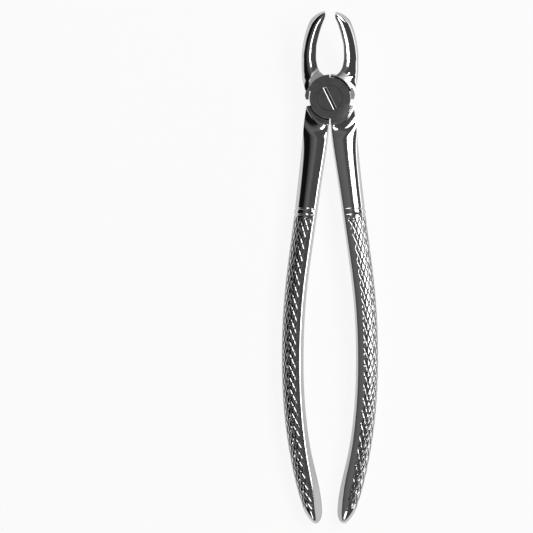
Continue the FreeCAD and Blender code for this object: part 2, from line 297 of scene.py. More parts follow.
def makeGround():
    # joint faces, ground and left dull
    material, nodes, links, shader = newFinish("groundSteel")
    shader.inputs["Metallic"].default_value = 1.0
    place = nodes.new("ShaderNodeTexCoord").outputs["Object"]
    grain = addNoise(nodes, links, place, ground["grainScale"], 3.0)
    cloud = addNoise(nodes, links, place, ground["cloudScale"], 4.0)
    ring = nodes.new("ShaderNodeVectorMath")        # faint rings left by turning
    ring.operation = "LENGTH"
    flat = nodes.new("ShaderNodeMapping")
    flat.inputs["Scale"].default_value = (1, 1, 0)
    links.new(place, flat.inputs["Vector"])
    links.new(flat.outputs["Vector"], ring.inputs[0])
    calc = mathNodes(nodes, links)
    wave = calc("SINE", calc("MULTIPLY", ring.outputs["Value"], ground["turning"]))
    tone = nodes.new("ShaderNodeValToRGB")
    base = ground["steel"]
    for element, where, share in zip(tone.color_ramp.elements, (0.3, 0.75), (0.88, 1.15)):
        element.position = where
        element.color = (*[c * share for c in base], 1)
    links.new(cloud, tone.inputs["Fac"])
    links.new(tone.outputs["Color"], shader.inputs["Base Color"])
    rough = addRange(nodes, links, grain, 0.25, 0.75, ground["roughness"] - ground["grain"],
                     ground["roughness"] + ground["grain"])
    links.new(rough, shader.inputs["Roughness"])
    bump = nodes.new("ShaderNodeBump")
    bump.inputs["Strength"].default_value = ground["bump"]
    bump.inputs["Distance"].default_value = ground["bumpHeight"]
    links.new(calc("MULTIPLY_ADD", wave, ground["turningShare"], grain), bump.inputs["Height"])
    links.new(bump.outputs["Normal"], shader.inputs["Normal"])
    return material


polished = makePolished()
groundSteel = makeGround()
print("finishes made")


# the cut diamonds of the grips and the bite of the beaks

def makeCutTree():
    tree = bpy.data.node_groups.new("cutDiamonds", "GeometryNodeTree")
    tree.interface.new_socket("Geometry", in_out="INPUT", socket_type="NodeSocketGeometry")
    for name, value in (("Period Along", 4.2), ("Period Across", 1.75), ("Depth", 0.2), ("Land", 0.6),
                        ("Ring Depth", 0.2), ("Unevenness", 0.1)):
        tree.interface.new_socket(name, in_out="INPUT", socket_type="NodeSocketFloat").default_value = value
    tree.interface.new_socket("Finish", in_out="INPUT", socket_type="NodeSocketMaterial")
    tree.interface.new_socket("Geometry", in_out="OUTPUT", socket_type="NodeSocketGeometry")
    nodes, links = tree.nodes, tree.links
    given = nodes.new("NodeGroupInput").outputs

    def named(name):
        node = nodes.new("GeometryNodeInputNamedAttribute")
        node.data_type = "FLOAT"
        node.inputs["Name"].default_value = name
        return node.outputs["Attribute"]

    calc = mathNodes(nodes, links)
    wobble = nodes.new("ShaderNodeTexNoise")        # hand-cut, so never quite even
    wobble.noise_dimensions = "4D"
    wobble.inputs["W"].default_value = 3.0
    wobble.inputs["Scale"].default_value = 150.0
    shift = calc("MULTIPLY", calc("SUBTRACT", wobble.outputs["Fac"], 0.5), given["Unevenness"])
    u = calc("ADD", calc("DIVIDE", named("along"), given["Period Along"]), shift)
    v = calc("DIVIDE", named("across"), given["Period Across"])
    lines = []
    for operation in ("ADD", "SUBTRACT"):
        turn = calc("FRACT", calc(operation, u, v))
        lines.append(calc("MULTIPLY", calc("ABSOLUTE", calc("SUBTRACT", turn, 0.5)), 2.0))   # 1 on a line
    nearest = calc("MAXIMUM", lines[0], lines[1])
    flank = calc("SUBTRACT", 1.0, given["Land"])
    groove = calc("DIVIDE", calc("SUBTRACT", nearest, given["Land"]), flank, clamp=True)
    pillow = calc("MULTIPLY", calc("POWER", nearest, 2.0), 0.18)
    profile = calc("ADD", groove, pillow)
    wear = nodes.new("ShaderNodeTexNoise")          # and never quite equally deep
    wear.inputs["Scale"].default_value = 420.0
    wear.inputs["Detail"].default_value = 1.0
    worn = calc("ADD", calc("MULTIPLY", wear.outputs["Fac"], 2.4), -0.30, clamp=True)
    cut = calc("MULTIPLY", calc("MULTIPLY", profile, named("cover")), worn)
    rings = calc("MULTIPLY", named("ring"), given["Ring Depth"])
    deep = calc("ADD", calc("MULTIPLY", cut, given["Depth"]), rings)
    offset = nodes.new("ShaderNodeVectorMath")
    offset.operation = "SCALE"
    links.new(nodes.new("GeometryNodeInputNormal").outputs["Normal"], offset.inputs[0])
    links.new(calc("MULTIPLY", deep, -mm), offset.inputs["Scale"])
    move = nodes.new("GeometryNodeSetPosition")
    links.new(given["Geometry"], move.inputs["Geometry"])
    links.new(offset.outputs["Vector"], move.inputs["Offset"])
    result = move.outputs["Geometry"]
    for name, value in (("diamondAlong", u), ("diamondAcross", v)):
        keep = nodes.new("GeometryNodeStoreNamedAttribute")
        keep.data_type = "FLOAT"
        keep.inputs["Name"].default_value = name
        links.new(result, keep.inputs["Geometry"])
        links.new(value, keep.inputs["Value"])
        result = keep.outputs["Geometry"]
    solid = nodes.new("GeometryNodeRealizeInstances")
    links.new(result, solid.inputs["Geometry"])
    paint = nodes.new("GeometryNodeSetMaterial")
    links.new(solid.outputs["Geometry"], paint.inputs["Geometry"])
    links.new(given["Finish"], paint.inputs["Material"])
    links.new(paint.outputs["Geometry"], nodes.new("NodeGroupOutput").inputs["Geometry"])
    return tree


cutDiamonds = makeCutTree()


def cutPattern(obj, values):
    modifier = obj.modifiers.new("cutDiamonds", "NODES")
    modifier.node_group = cutDiamonds
    for item in cutDiamonds.interface.items_tree:
        if item.item_type == "SOCKET" and item.name in values:
            modifier[item.identifier] = values[item.name]
        if item.item_type == "SOCKET" and item.name == "Finish":
            modifier[item.identifier] = polished
    graph = bpy.context.evaluated_depsgraph_get()
    mesh = bpy.data.meshes.new_from_object(obj.evaluated_get(graph), depsgraph=graph)
    plain = obj.data
    obj.modifiers.remove(modifier)
    obj.data = mesh
    bpy.data.meshes.remove(plain)
    mesh.name = obj.name
    return obj


# arms swept from sections

joint = {
    "disc": 7.2,
    "seat": 7.7,
    "boss": 8.65,             # joint face on the handle side
    "bossGrowth": 0.95,       # and how much further it reaches in the middle
    "bossSpread": (58, 22),   # from this far off the middle line, and fully by here, in degrees
    "handleInside": 8.0,      # handles start here, hidden in the joint plates
    "beakInside": 7.74,       # beaks start here, at the seat
    "shoulderAngle": 19.6,    # of the handle shoulders, from level
    "beakShoulderAngle": 19.5,
    "handleFlank": 8.3,
    "beakFlank": 8.35,
    "splitGap": 0.12,
    "splitLean": math.tan(math.radians(1.0)),
    "lapTop": 5.025,
    "fillet": 0.50,           # height of the fillet between joint face and handle crown
    "filletReach": 1.3,
    "dip": 0.45,              # hollow across the handle just past it
    "dipReach": 5.0,
    "milled": (7.4, 8.2, 3.0),     # ground patch round the joint: half width, half height, middle
    "beakFillet": 1.3,        # radius of the fillet from the patch up to the left beak
}


def armSection(size, corner, lean, counts):
    # closed outline, x sideways and w front to back, from the rear inner corner round to itself
    outer, inner, band = size["outer"], size["inner"], size["band"]
    top = size["depth"] / 2
    edge = 0.955 * top
    side = min(band / 2, top - 0.05)
    slope = []
    for t in np.linspace(-1, 1, counts["inner"]):            # inner face, rear to front
        w = t * (edge - corner)
        slope.append((inner + lean * (t + 1) / 2 + size.get("dish", 0) * (1 - (w / edge) ** 2), w))
    frontInner = inner + lean
    crown = frontInner + size.get("apex", 0.40) * (outer - frontInner)
    rearCrown = inner + 0.40 * (outer - inner)
    points = list(slope)
    for a in np.linspace(0, 90, counts["corner"])[1:-1]:
        c = math.radians(a)
        points.append((frontInner + corner * (1 - math.cos(c)), edge - corner * (1 - math.sin(c))))
    for t in np.linspace(0, 1, counts["slope"]):
        x = frontInner + corner + (crown - frontInner - corner) * t
        points.append((x, edge + (top - edge) * (1 - (1 - t) ** 2)))
    for t in np.linspace(0, 90, counts["crown"])[1:]:
        s, c = math.sin(math.radians(t)), max(math.cos(math.radians(t)), 0.0)
        points.append((crown + (outer - crown) * s, side + (top - side) * c ** (2 * size["crisp"])))
    for t in np.linspace(1, -1, counts["flank"])[1:-1]:
        points.append((outer, t * side))
    for t in np.linspace(90, 0, counts["crown"])[:-1]:
        s, c = math.sin(math.radians(t)), max(math.cos(math.radians(t)), 0.0)
        points.append((rearCrown + (outer - rearCrown) * s, -side - (top - side) * c ** (2 * size["crisp"])))
    for t in np.linspace(1, 0, counts["slope"]):
        x = inner + corner + (rearCrown - inner - corner) * t
        points.append((x, -edge - (top - edge) * (1 - (1 - t) ** 2)))
    for a in np.linspace(90, 0, counts["corner"])[1:-1]:
        c = math.radians(a)
        points.append((inner + corner * (1 - math.cos(c)), -edge + corner * (1 - math.sin(c))))
    return np.array(points)


def keepOutside(points, side, along, radius):
    # outside the joint, and on its own side of the middle plane
    x = points[:, 0] * side
    y = points[:, 1] * along
    wall = np.sqrt(np.clip(radius ** 2 - y ** 2, 0, None))
    x = np.where(y < radius, np.maximum(x, wall), x)
    x = np.maximum(x, joint["splitGap"] + joint["splitLean"] * np.clip(y, 0, None))
    points[:, 0] = x * side
    return points


def sweptObject(name, rows, materials):
    count = len(rows[0])
    points = np.vstack(rows)
    points = np.vstack([points, points[:count].mean(axis=0), points[-count:].mean(axis=0)])
    first = len(rows) * count
    last = first - count
    faces = []
    for r in range(len(rows) - 1):
        a = r * count
        for i in range(count):
            j = (i + 1) % count
            faces.append((a + i, a + j, a + count + j, a + count + i))
    for i in range(count):
        j = (i + 1) % count
        faces.append((j, i, first))
        faces.append((last + i, last + j, first + 1))
    return meshObject(name, points, faces, materials)


# handles

handle = {
    # below the pivot, outer, inner, depth, flat flank, height above the table, crispness of the flank edge
    "sections": [
        (2.9, 8.25, 0.15, 9.2, 8.6, 5.00, 0.95),
        (9.0, 9.08, 0.22, 9.2, 7.4, 5.00, 0.90),
        (17.0, 9.82, 1.00, 9.3, 4.6, 5.00, 0.62),
        (30.0, 11.17, 2.95, 9.3, 3.0, 5.05, 0.50),
        (46.5, 13.17, 5.25, 9.1, 2.8, 5.10, 0.50),
        (67.5, 15.75, 8.00, 8.8, 2.8, 5.00, 0.50),
        (90.0, 16.76, 9.15, 8.5, 2.8, 4.75, 0.50),
        (110.0, 15.90, 8.35, 8.1, 2.6, 4.35, 0.50),
        (126.0, 13.61, 5.95, 7.6, 2.4, 3.95, 0.50),
        (138.9, 10.53, 3.16, 7.0, 2.2, 3.63, 0.50),
        (145.2, 8.45, 2.60, 6.5, 2.0, 3.40, 0.50),
        (148.3, 7.40, 2.45, 6.2, 1.8, 3.30, 0.50),
    ],
    "start": 2.9,
    "end": 148.25,
    "roundFrom": 143.2,
    "endCentre": 4.9,
    "startRun": 9.2,         # closer rows next to the joint
    "startStep": 0.18,
    "rowStep": 0.3,
    "ringRows": (37.2, 41.6, 0.4),       # closer rows at the rings: from, to, share of the step
    "endRun": 5.0,
    "endRows": 24,
    "filletHold": 3.5,       # the fillet has its full height this far from the middle
    "corner": 0.25,
    "counts": {"inner": 6, "corner": 4, "slope": 8, "crown": 62, "flank": 12},
}
# how far the inner face leans back from the front, below the pivot: lean
leans = {
    "frontHandle": [(2.9, 0.15), (17, 0.35), (60, 0.55), (110, 0.65), (130, 1.0), (142, 1.4), (148.3, 1.3)],
    "rearHandle": [(2.9, 0.25), (17, 0.65), (46, 0.85), (90, 1.0), (115, 1.2), (132, 1.9), (142, 2.5),
                   (148.3, 2.3)],
}
grip = {
    "start": 41.3,
    "end": 143.4,
    "periodAlong": 4.2,
    "periodAcross": 1.75,
    "depth": 0.09,
    "land": 0.55,
    "unevenness": 0.16,
    "edgeShare": 0.36,       # smooth inner part of the front face
    "edgeShareLow": 0.50,
    "edgeTurns": (112, 136),             # it widens between these
    "edgeNarrow": 0.16,      # and starts this much narrower
    "narrowTo": (41, 50),
    "rings": (38.3, 40.4),
    "ringWidth": 0.6,
    "ringDepth": 0.30,
    "bandPlace": 39.5,       # raised band between the rings: middle, half width, height as a share
    "bandHalf": 0.9,
    "bandShare": 0.45,
}


def makeHandle(name, side):
    names = ["outer", "inner", "depth", "band", "height", "crisp"]
    curves = tableCurves(smoothCurve, names, handle["sections"])
    leanCurve = steadyCurve(*zip(*leans[name]))
    places = [handle["start"] + t for t in np.arange(0, handle["startRun"], handle["startStep"])]
    ringTop, ringBottom, closer = handle["ringRows"]
    while places[-1] < handle["end"] - handle["endRun"]:
        places.append(places[-1] + handle["rowStep"] * (closer if ringTop < places[-1] < ringBottom else 1))
    last = places[-1]
    for t in np.linspace(0, 1, handle["endRows"])[1:]:
        places.append(last + (handle["end"] - last) * math.sin(t * math.pi / 2))
    rows, along, across, share = [], [], [], []
    for below in places:
        size = {n: curve(below) for n, curve in curves.items()}
        lean = leanCurve(below)
        section = armSection(size, handle["corner"], lean, handle["counts"])
        lengths = np.linalg.norm(np.diff(np.vstack([section, section[:1]]), axis=0), axis=1)
        run = np.concatenate([[0], np.cumsum(lengths)[:-1]])
        flank = np.argmin(np.abs(section[:, 1]) + 10 * (section[:, 0] < size["outer"] - 0.01))
        part = (section[:, 0] - size["inner"]) / (size["outer"] - size["inner"])
        if below > handle["roundFrom"]:
            u = (below - handle["roundFrom"]) / (handle["end"] - handle["roundFrom"])
            shrink = math.sqrt(max(1 - u * u, 0.0003))
            centre = (size["outer"] + size["inner"]) / 2
            drift = (handle["endCentre"] - centre) * u ** 2
            section[:, 0] = centre + drift + (section[:, 0] - centre) * shrink
            section[:, 1] *= shrink ** 0.75
        block = np.column_stack([section[:, 0] * side, np.full(len(section), -below),
                                 section[:, 1] + size["height"]])
        block = keepOutside(block, side, -1, joint["handleInside"])
        away = np.degrees(np.arctan2(np.abs(block[:, 0]), below))
        edge = joint["boss"] + joint["bossGrowth"] * ease(*joint["bossSpread"], away)
        reach = np.clip(np.hypot(block[:, 0], block[:, 1]) - edge, 0, None)
        rise = joint["fillet"] * np.clip(1 - reach / joint["filletReach"], 0, 1) ** 2
        rise -= joint["dip"] * np.sin(np.pi * np.clip(reach / joint["dipReach"], 0, 1)) ** 2
        middle = block[:, 2] - midHeight
        block[:, 2] += rise * np.clip(middle / handle["filletHold"], -1, 1)
        block[:, 2] = np.clip(block[:, 2], skin, thickness - skin)
        rows.append(block)
        along.append(np.full(len(section), below))
        across.append(run - run[flank])
        share.append(part)
    obj = sweptObject(name, rows, [polished])
    along = np.concatenate(along + [[0, 999]])
    across = np.concatenate(across + [[0, 0]])
    share = np.concatenate(share + [[0, 0]])
    edge = grip["edgeShare"] + (grip["edgeShareLow"] - grip["edgeShare"]) * ease(*grip["edgeTurns"], along)
    edge = edge - grip["edgeNarrow"] * (1 - ease(*grip["narrowTo"], along))
    cover = ease(edge - 0.012, edge + 0.012, share)
    top = grip["start"] + 0.8 * (1 - share)
    cover *= ease(top - 0.25, top + 0.25, along) * (1 - ease(grip["end"] - 1.0, grip["end"], along))
    setPointValue(obj, "along", along)
    setPointValue(obj, "across", across)
    setPointValue(obj, "cover", cover)
    ring = np.zeros(len(along))
    for place in grip["rings"]:
        here = place + 0.5 * (1 - np.clip(share, 0, 1))
        ring = np.maximum(ring, np.clip(1 - np.abs(along - here) / (grip["ringWidth"] / 2), 0, 1))
    between = np.clip(1 - np.abs(along - grip["bandPlace"]) / grip["bandHalf"], 0, 1)
    ring = (ring - grip["bandShare"] * between) * ease(0.12, 0.30, share)
    setPointValue(obj, "ring", ring)
    setPointValue(obj, "facet", np.zeros(len(along)))
    finishMesh(obj, 50)
    return cutPattern(obj, {
        "Period Along": grip["periodAlong"], "Period Across": grip["periodAcross"], "Depth": grip["depth"],
        "Land": grip["land"], "Ring Depth": grip["ringDepth"], "Unevenness": grip["unevenness"]})


frontHandle = makeHandle("frontHandle", 1)
rearHandle = makeHandle("rearHandle", -1)
print("handles made", len(frontHandle.data.polygons))


# beaks

beak = {
    "bendStart": 4.0,
    "bendRadius": 11.4,
    "bend": math.radians(27.5),
    # along the beak, outer, inner, depth, flat flank, dish, crispness,
    # fullness of the front, shift to the front
    "root": [
        (-1.30, 8.60, 0.15, 9.3, 8.2, 0.05, 0.90, 0.6, 0.0),
        (0.27, 8.98, 0.18, 9.4, 7.4, 0.05, 0.80, 0.8, 0.0),
        (3.28, 9.55, 0.27, 9.2, 4.6, 0.05, 0.62, 1.0, 0.0),
        (4.40, 9.68, 2.20, 8.3, 3.8, 0.05, 0.58, 1.0, 0.0),
        (5.60, 9.76, 3.45, 7.1, 3.1, 0.05, 0.54, 0.85, 0.0),
        (7.60, 9.85, 4.38, 5.9, 2.3, 0.05, 0.50, 0.4, 0.0),
        (11.40, 9.85, 4.85, 4.95, 1.6, 0.15, 0.48, 0.1, 0.0),
        (15.00, 9.50, 4.75, 4.75, 1.5, 0.30, 0.46, 0.0, 0.0),
        (18.90, 8.82, 4.05, 4.85, 1.6, 0.45, 0.46, 0.0, 0.0),
        (22.80, 7.65, 3.05, 5.1, 2.0, 0.60, 0.46, 0.0, 0.0),
        (24.67, 6.85, 2.45, 5.2, 2.2, 0.65, 0.46, 0.0, 0.05),
    ],
    "point": [
        (26.60, 5.45, 1.85, 4.3, 1.6, 0.45, 0.46, 0.0, 0.40),
        (27.90, 4.10, 1.70, 3.0, 1.0, 0.25, 0.46, 0.0, 0.75),
        (28.90, 2.55, 1.75, 1.7, 0.5, 0.08, 0.46, 0.0, 1.15),
    ],
    "spoon": [
        (26.20, 5.65, 1.80, 4.6, 1.8, 0.50, 0.46, 0.0, 0.30),
        (27.40, 4.45, 1.68, 3.6, 1.2, 0.35, 0.46, 0.0, 0.60),
        (28.25, 3.00, 1.80, 2.5, 0.8, 0.20, 0.46, 0.0, 0.90),
    ],
    "corner": 0.22,
    "rowStep": 0.12,
    "endRun": 1.2,
    "endRows": 18,
    "ridge": 0.40,           # where the crown lies, as a share of the width from the inner face
    "ridgeAtFoot": 0.24,     # and at the foot of the right beak
    "ridgeTurns": (5.0, 11.0),
    "counts": {"inner": 44, "corner": 6, "slope": 14, "crown": 40, "flank": 16},
}
bite = {
    "from": 14.0,            # along the beak, where the serration starts
    "periodAlong": 0.9,
    "periodAcross": 0.9,
    "depth": 0.12,
    "land": 0.35,
    "unevenness": 0.35,
    "grooveWidth": 0.35,     # the groove down the middle near the tip
    "grooveFrom": 20.5,
    "grooveDepth": 0.35,
}


def beakPlace(s):
    # middle line of the beaks: rise above the pivot, lift above the table, direction
    radius, bend = beak["bendRadius"], beak["bend"]
    turn = min(max(s / radius, 0), bend)
    run = s if s < 0 else max(s - radius * bend, 0)
    rise = beak["bendStart"] + radius * math.sin(turn) + run * math.cos(turn)
    lift = midHeight + radius * (1 - math.cos(turn)) + run * math.sin(turn)
    return rise, lift, turn


def makeBeak(name, side, tip, milled):
    table = beak["root"] + beak[tip]
    names = ["outer", "inner", "depth", "band", "dish", "crisp", "full", "forward"]
    curves = tableCurves(steadyCurve, names, table)
    start, end = table[0][0], table[-1][0]
    places = list(np.arange(start, end - beak["endRun"], beak["rowStep"]))
    last = places[-1]
    for t in np.linspace(0, 1, beak["endRows"])[1:]:
        places.append(last + (end - last) * math.sin(t * math.pi / 2))
    rows, along, across, cover, ring = [], [], [], [], []
    for s in places:
        size = {n: curve(s) for n, curve in curves.items()}
        size["apex"] = beak["ridge"]
        if not milled:
            size["apex"] -= (beak["ridge"] - beak["ridgeAtFoot"]) * (1 - ease(*beak["ridgeTurns"], s))
        section = armSection(size, beak["corner"], 0.0, beak["counts"])
        rise, lift, turn = beakPlace(s)
        x, w = section[:, 0], section[:, 1].copy()
        # the fork between the beaks is cut straight down, not square to the bend
        part = np.clip((x - size["inner"]) / (size["outer"] - size["inner"]), 0, 1)
        upright = [curves["inner"](min(max(s - v * math.tan(turn), start), end)) for v in w]
        x = x + (np.array(upright) - size["inner"]) * (1 - part)
        w += size["full"] * np.clip(w / (size["depth"] / 2), 0, 1) ** 2 + size["forward"]
        block = np.column_stack([x * side, rise - w * math.sin(turn), lift + w * math.cos(turn)])
        block = keepOutside(block, side, 1, joint["beakInside"])
        block[:, 2] = np.maximum(block[:, 2], 0.02)
        rows.append(block)
        along.append(np.full(len(section), s))
        across.append(section[:, 1])
        onFace = np.zeros(len(section))
        onFace[:beak["counts"]["inner"]] = 1
        reach = (size["depth"] / 2 - 0.3) * math.sqrt(max(0.0, min(1.0, (s - bite["from"]) / 3.0)))
        onFace *= np.clip((reach - np.abs(section[:, 1])) / 0.15, 0, 1) if reach > 0 else 0
        if s > end - 0.25:
            onFace *= 0
        cover.append(onFace)
        middle = np.clip(1 - np.abs(section[:, 1]) / bite["grooveWidth"], 0, 1)
        ring.append(middle * (onFace > 0) * ease(bite["grooveFrom"], bite["grooveFrom"] + 1.5, s))
    points = np.vstack(rows)
    # the joint was faced together with the foot of each beak, which leaves a dull patch
    halfWide, halfHigh, middle = joint["milled"]
    reach = (np.hypot(points[:, 0] / halfWide, (points[:, 1] - middle) / halfHigh) - 1) * halfWide
    facet = np.clip(0.5 - reach / 0.6, 0, 1) * (points[:, 2] > thickness - 0.5)
    if milled:
        radius = joint["beakFillet"]
        climb = radius - np.sqrt(np.clip(radius ** 2 - np.clip(reach, 0, radius) ** 2, 0, None))
        top = np.where(reach > radius, 99.0, thickness - skin + climb)
        facet = np.clip((points[:, 2] - top) / 0.05, 0, 1)
        points[:, 2] = np.minimum(points[:, 2], top)
    count = len(rows[0])
    rows = [points[i:i + count] for i in range(0, len(points), count)]
    obj = sweptObject(name, rows, [polished])
    setPointValue(obj, "along", np.concatenate(along + [[0, 99]]))
    setPointValue(obj, "across", np.concatenate(across + [[0, 0]]))
    setPointValue(obj, "cover", np.concatenate(cover + [[0, 0]]))
    setPointValue(obj, "ring", np.concatenate(ring + [[0, 0]]))
    setPointValue(obj, "facet", np.concatenate([facet, [0, 0]]))
    finishMesh(obj, 42)
    return cutPattern(obj, {
        "Period Along": bite["periodAlong"], "Period Across": bite["periodAcross"], "Depth": bite["depth"],
        "Land": bite["land"], "Ring Depth": bite["grooveDepth"], "Unevenness": bite["unevenness"]})


leftBeak = makeBeak("leftBeak", -1, "point", True)
rightBeak = makeBeak("rightBeak", 1, "spoon", False)
print("beaks made", len(leftBeak.data.polygons))


# lap joint

lap = {
    "rim": 0.10,              # chamfer round the disc and the seat
    "bossEdge": 0.28,         # bright edge of the boss, and the dull slope inside it
    "bossEdgeDrop": 0.26,
    "bossSlope": 0.85,
    "bossSlopeDrop": 0.20,
    "screwSink": 4.45,
    "screwSinkDepth": 2.3,
    "shank": 2.65,
    "thread": 2.32,
    "discTop": 91.0,          # ends of the arcs round the joint, from level right, going round
    "rootFrom": 91.9,
    "discBottom": 271.4,
    "bossFrom": 272.0,
    "step": 0.2,              # between the end of one arc and the start of the next
    "rootRadius": 8.2,
    "lugEnd": 182.2,
    "lugRadius": 8.75,
    "lugThinner": 0.4,        # where it leaves the beak, and again at its end
    "lugCloser": 0.33,        # to the disc at its end
}


def arcPoints(radius, fromAngle, toAngle, count):
    return [(radius * math.cos(math.radians(a)), radius * math.sin(math.radians(a)))
            for a in np.linspace(fromAngle, toAngle, count)]


def insetLoop(points, amount):
    # towards the pivot
    p = np.array(points, float)
    radius = np.hypot(p[:, 0], p[:, 1])
    return p * (1 - np.asarray(amount, float) / radius).reshape(-1, 1)


def stackLoops(points, faces, marks, loops, mark):
    base = len(points)
    count = len(loops[0])
    for loop in loops:
        points += [tuple(p) for p in loop]
    for r in range(len(loops) - 1):
        for i in range(count):
            j = (i + 1) % count
            a = base + r * count
            faces.append((a + i, a + j, a + count + j, a + count + i))
            marks.append(mark[r])
    return base, count


def level(loop, z):
    return np.column_stack([np.array(loop), np.broadcast_to(z, len(loop))])


def bossRadius(angle):
    # the boss reaches further down between the handles; angle from level right, going round
    away = abs(angle % 360 - 270)
    return joint["boss"] + joint["bossGrowth"] * ease(*joint["bossSpread"], away)


def bossPoints(fromAngle, toAngle, count):
    line = []
    for angle in np.linspace(fromAngle, toAngle, count):
        radius = bossRadius(angle)
        x, y = radius * math.cos(math.radians(angle)), radius * math.sin(math.radians(angle))
        line.append((min(x, joint["handleFlank"]), y))
    return line


def makeOutline():
    # front plate seen from the front, counterclockwise: disc, boss on the handle side, root on the beak side
    a, b = joint["shoulderAngle"], joint["beakShoulderAngle"]
    discRight = arcPoints(joint["disc"], -a, lap["discTop"], 110)
    root = arcPoints(lap["rootRadius"], lap["rootFrom"], 180 - b, 56)
    root = [(max(x, -joint["beakFlank"]), y) for x, y in root]
    discLeft = arcPoints(joint["disc"], 180 - b + lap["step"], lap["discBottom"], 100)
    boss = bossPoints(lap["bossFrom"], 360 - a - lap["step"], 64)
    outline = discRight + root + discLeft + boss
    kind = np.repeat([0, 1, 0, 2], [len(line) for line in (discRight, root, discLeft, boss)])
    return np.array(outline), kind


def makeStrip(points, faces, marks, inner, outer, low, high, edges, topMark=0):
    # wall between two lines of points; edges: inset and rise of its free side, for inner and outer points
    n = len(outer)
    loop = np.array(list(outer) + list(reversed(inner)))
    isOuter = np.arange(len(loop)) < n
    (innerIn, innerUp), (edgeIn, edgeUp), (slopeIn, slopeUp) = edges
    firstIn = np.where(isOuter, edgeIn, -innerIn)
    firstUp = np.where(isOuter, slopeUp, 0.0)
    startUp = np.where(isOuter, edgeUp + slopeUp, innerUp)
    secondIn = np.where(isOuter, edgeIn + slopeIn, -innerIn - 0.01)
    loops = [level(loop, high), level(loop, low + startUp), level(insetLoop(loop, firstIn), low + firstUp),
             level(insetLoop(loop, secondIn), low)]
    base, count = stackLoops(points, faces, marks, loops, [1, 1, 0])
    for top in (base + 3 * count, base):
        for i in range(n - 1):
            faces.append((top + i, top + i + 1, top + count - 2 - i, top + count - 1 - i))
            marks.append(topMark)


def makeJoint(name, isFront):
    outline, kind = makeOutline()
    points, faces, marks = [], [], []
    edgeIn = np.choose(kind, [lap["rim"], 0.05, lap["bossEdge"]])
    edgeDrop = np.choose(kind, [lap["rim"], 0.05, lap["bossEdgeDrop"]])
    slopeIn = edgeIn + np.choose(kind, [0.02, 0.02, lap["bossSlope"]])
    slopeDrop = np.choose(kind, [0.0, 0.0, lap["bossSlopeDrop"]])
    rim = insetLoop(outline, edgeIn)
    flat = insetLoop(outline, slopeIn)
    loops = [level(outline, joint["lapTop"]), level(outline, thickness - edgeDrop - slopeDrop),
             level(rim, thickness - slopeDrop), level(flat, thickness)]
    angle = np.arctan2(flat[:, 1], flat[:, 0])
    if isFront:
        bore = [(lap["screwSink"] + 0.03, thickness), (lap["screwSink"], thickness - 0.03),
                (lap["shank"], thickness - lap["screwSinkDepth"]), (lap["shank"], joint["lapTop"])]
    else:
        bore = [(lap["thread"] + 0.12, thickness), (lap["thread"], thickness - 0.12),
                (lap["thread"], joint["lapTop"])]
    for radius, z in bore:
        circle = np.column_stack([radius * np.cos(angle), radius * np.sin(angle)])
        loops.append(level(circle, z))
    base, count = stackLoops(points, faces, marks, loops, [1, 1, 0, 0, 0] + [1] * (len(bore) - 1))
    last = base + (len(loops) - 1) * count
    for i in range(count):
        j = (i + 1) % count
        faces.append((last + i, last + j, base + j, base + i))
        marks.append(0)
    # seat walls in the other lap, on the handle side and under the beak
    seatFrom, seatTo = -joint["shoulderAngle"], lap["bossFrom"] - 360
    inner = arcPoints(joint["seat"], seatFrom, seatTo, 60)
    outer = bossPoints(seatFrom, seatTo, 60)
    makeStrip(points, faces, marks, inner, outer, 0.0, joint["lapTop"],
              ((lap["rim"], lap["rim"]), (lap["bossEdge"], lap["bossEdgeDrop"]),
               (lap["bossSlope"] * 0.5, 0.12)))
    inner, outer = [], []
    for t in np.linspace(lap["lugEnd"], lap["rootFrom"], 80):
        radius = joint["seat"] - lap["lugCloser"] * ease(158, 168, t)
        inner.append((radius * math.cos(math.radians(t)), radius * math.sin(math.radians(t))))
        radius = lap["lugRadius"] - lap["lugThinner"] * (ease(158, 150, t) + ease(172, lap["lugEnd"], t))
        outer.append((radius * math.cos(math.radians(t)), radius * math.sin(math.radians(t))))
    makeStrip(points, faces, marks, inner, outer, 0.12, joint["lapTop"],
              ((0.06, 0.06), (0.12, 0.12), (0.05, 0.0)), 1)
    pale = len(points) - 2 * len(inner) * 4
    points = np.array(points)
    if not isFront:
        points[:, 0] *= -1
        points[:, 2] = thickness - points[:, 2]
    obj = meshObject(name, points, faces, [groundSteel, polished])
    obj.data.polygons.foreach_set("material_index", marks)
    setPointValue(obj, "facet", np.arange(len(points)) >= pale)
    finishMesh(obj, 25)
    return obj


frontJoint = makeJoint("frontJoint", True)
rearJoint = makeJoint("rearJoint", False)
print("joint made", len(frontJoint.data.polygons))


# pivot screw

screw = {
    "head": 4.38,
    "headDepth": 2.3,
    "shank": 2.58,
    "thread": 2.28,
    "slotWidth": 0.72,
    "slotDepth": 1.1,
    "slotLean": math.radians(26.0),
    "slotReach": 4.3,
    "edge": 0.30,            # rounded edge of the slot, and its steep inner part
    "steepEdge": 0.19,
}


